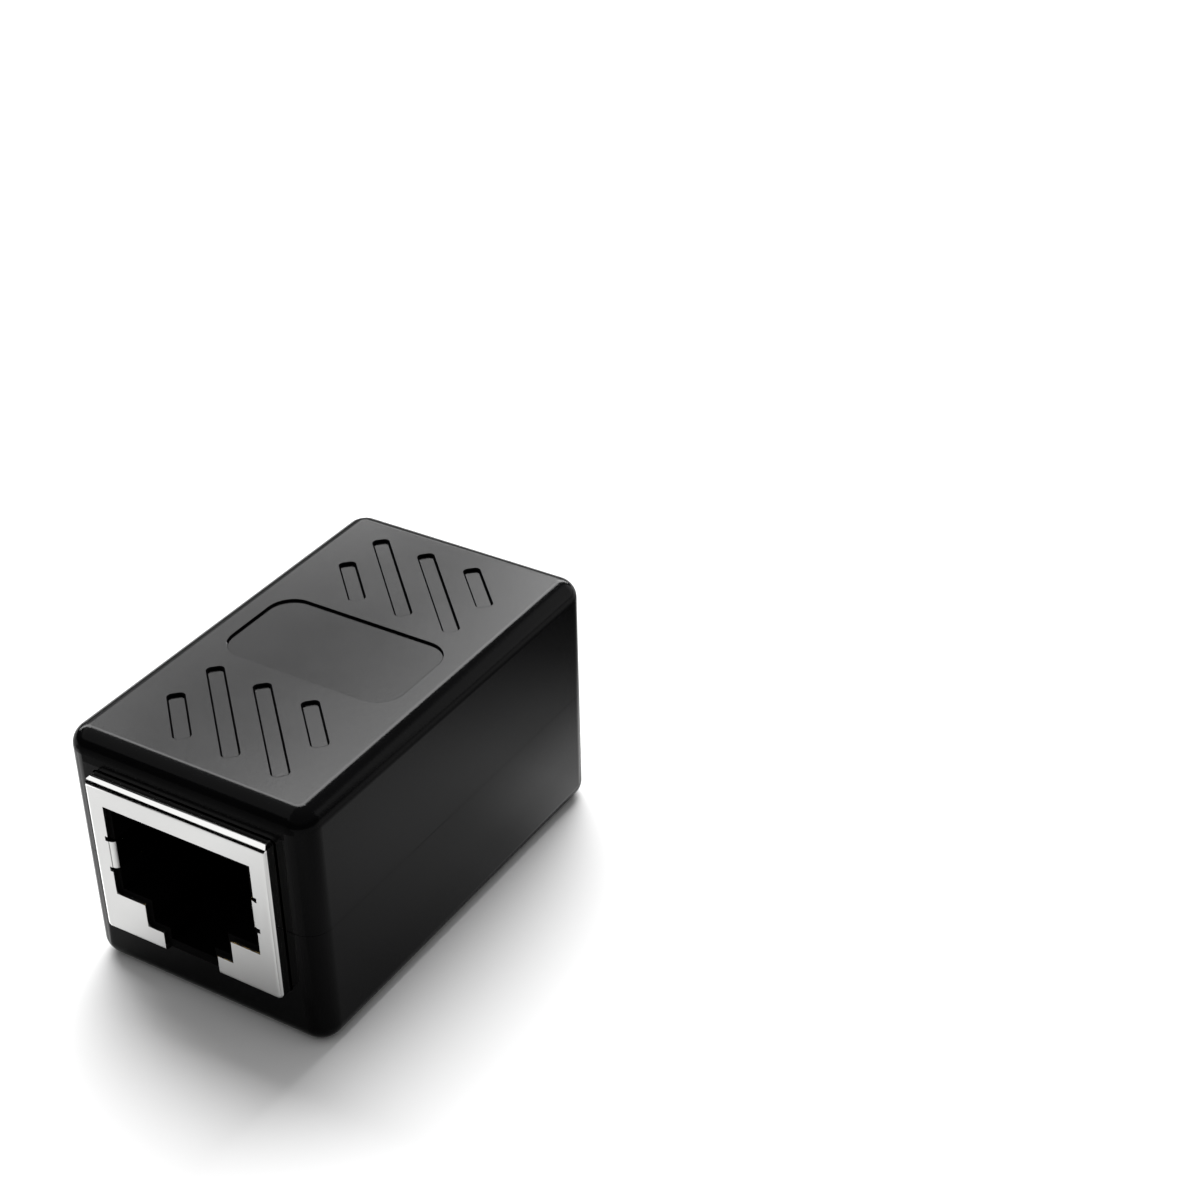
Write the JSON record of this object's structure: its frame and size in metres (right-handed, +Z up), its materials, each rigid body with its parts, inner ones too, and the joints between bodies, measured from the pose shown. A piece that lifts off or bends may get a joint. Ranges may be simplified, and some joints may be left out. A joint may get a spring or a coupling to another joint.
{
  "type": "rj45 inline coupler",
  "caption": "Small black moulded block with a shielded modular jack in each end that joins two network leads in line.",
  "frame": {"origin": "middle of the flat underside", "axes": "+Y along both ports, towards the rear one; +X across the casing; +Z up to the slotted face"},
  "size_m": [0.021, 0.037, 0.0201],
  "materials": {
    "casing_plastic": "satin moulded, very fine grain",
    "jack_plastic": "moulded",
    "carrier_plastic": "moulded",
    "shield_plate": "satin nickel plate on thin steel",
    "contact_metal": "gold flash on spring bronze",
    "board_laminate": "solder mask on glass laminate"
  },
  "bodies": {
    "root": {"casing_upper": "casing_plastic", "casing_lower": "casing_plastic", "circuit_board": "board_laminate", "jack_body_front": "jack_plastic", "contact_carrier_front": "carrier_plastic", "shield_front": "shield_plate", "jack_body_rear": "jack_plastic", "contact_carrier_rear": "carrier_plastic", "shield_rear": "shield_plate", "contact_front_1": "contact_metal", "contact_front_2": "contact_metal", "contact_front_3": "contact_metal", "contact_front_4": "contact_metal", "contact_front_5": "contact_metal", "contact_front_6": "contact_metal", "contact_front_7": "contact_metal", "contact_front_8": "contact_metal", "contact_rear_1": "contact_metal", "contact_rear_2": "contact_metal", "contact_rear_3": "contact_metal", "contact_rear_4": "contact_metal", "contact_rear_5": "contact_metal", "contact_rear_6": "contact_metal", "contact_rear_7": "contact_metal", "contact_rear_8": "contact_metal"}
  },
  "joints": []
}
